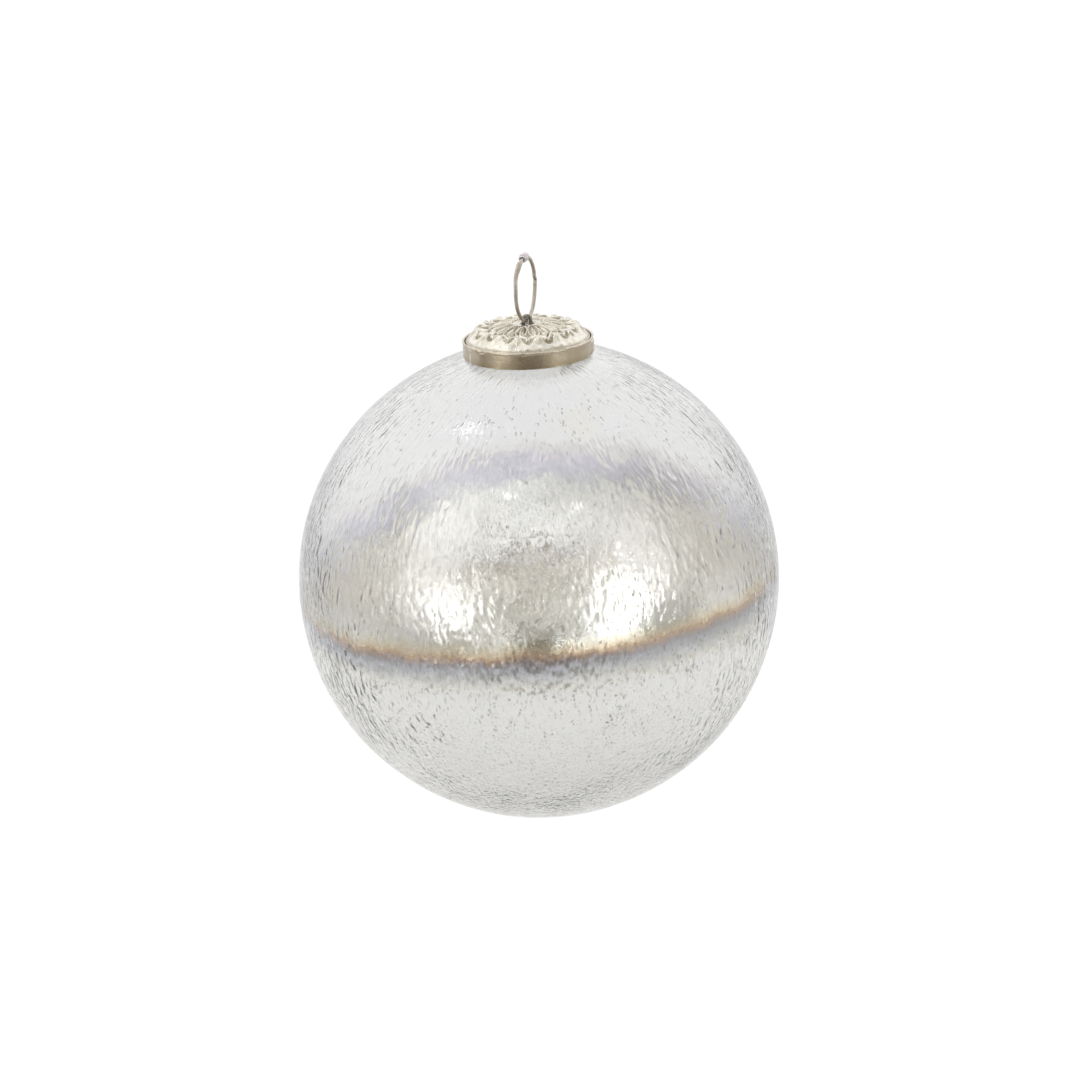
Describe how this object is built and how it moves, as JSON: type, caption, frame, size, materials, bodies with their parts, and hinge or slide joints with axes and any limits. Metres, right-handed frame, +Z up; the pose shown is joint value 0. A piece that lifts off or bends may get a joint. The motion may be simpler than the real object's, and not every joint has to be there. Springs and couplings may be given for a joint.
{
  "type": "hanging glass ball ornament",
  "caption": "Hanging glass ball, half silvered inside, with a stamped metal cap and a wire ring on a spring clip.",
  "frame": {"origin": "lowest point of the glass ball, on its axis", "axes": "+Z up the axis through the cap; the hanging ring stands in the YZ plane at rest, so it swings about Y"},
  "size_m": [0.127, 0.127, 0.1509],
  "materials": {
    "glass": "clear seeded glass, gloss",
    "silver": "chemical silvering with a tarnished, coloured edge",
    "cap_metal": "stamped sheet, aged silver plating, satin",
    "clip_wire": "spring wire, dull",
    "ring_wire": "plated wire, satin",
    "clear_line": "clear nylon line"
  },
  "bodies": {
    "ring": {"hanging_ring": "ring_wire", "line_wrap": "clear_line"},
    "clip": {"spring_clip": "clip_wire"},
    "cap": {"cap_dome": "cap_metal", "cap_band": "cap_metal"},
    "globe": {"glass_globe": "glass", "silver_lining": "silver"}
  },
  "joints": [
    {"name": "ring_swing", "type": "hinge", "parent": "ring", "child": "clip", "pos_m": [0, 0, 0.1338], "axis": [0, 1, 0], "range_deg": [-85, 85]},
    {"name": "cap_turn", "type": "hinge", "parent": "clip", "child": "cap", "pos_m": [0, 0, 0.13], "axis": [0, 0, 1], "continuous": true},
    {"name": "globe_pull", "type": "slide", "parent": "clip", "child": "globe", "axis": [0, 0, -1], "range_m": [0, 0.02]}
  ]
}
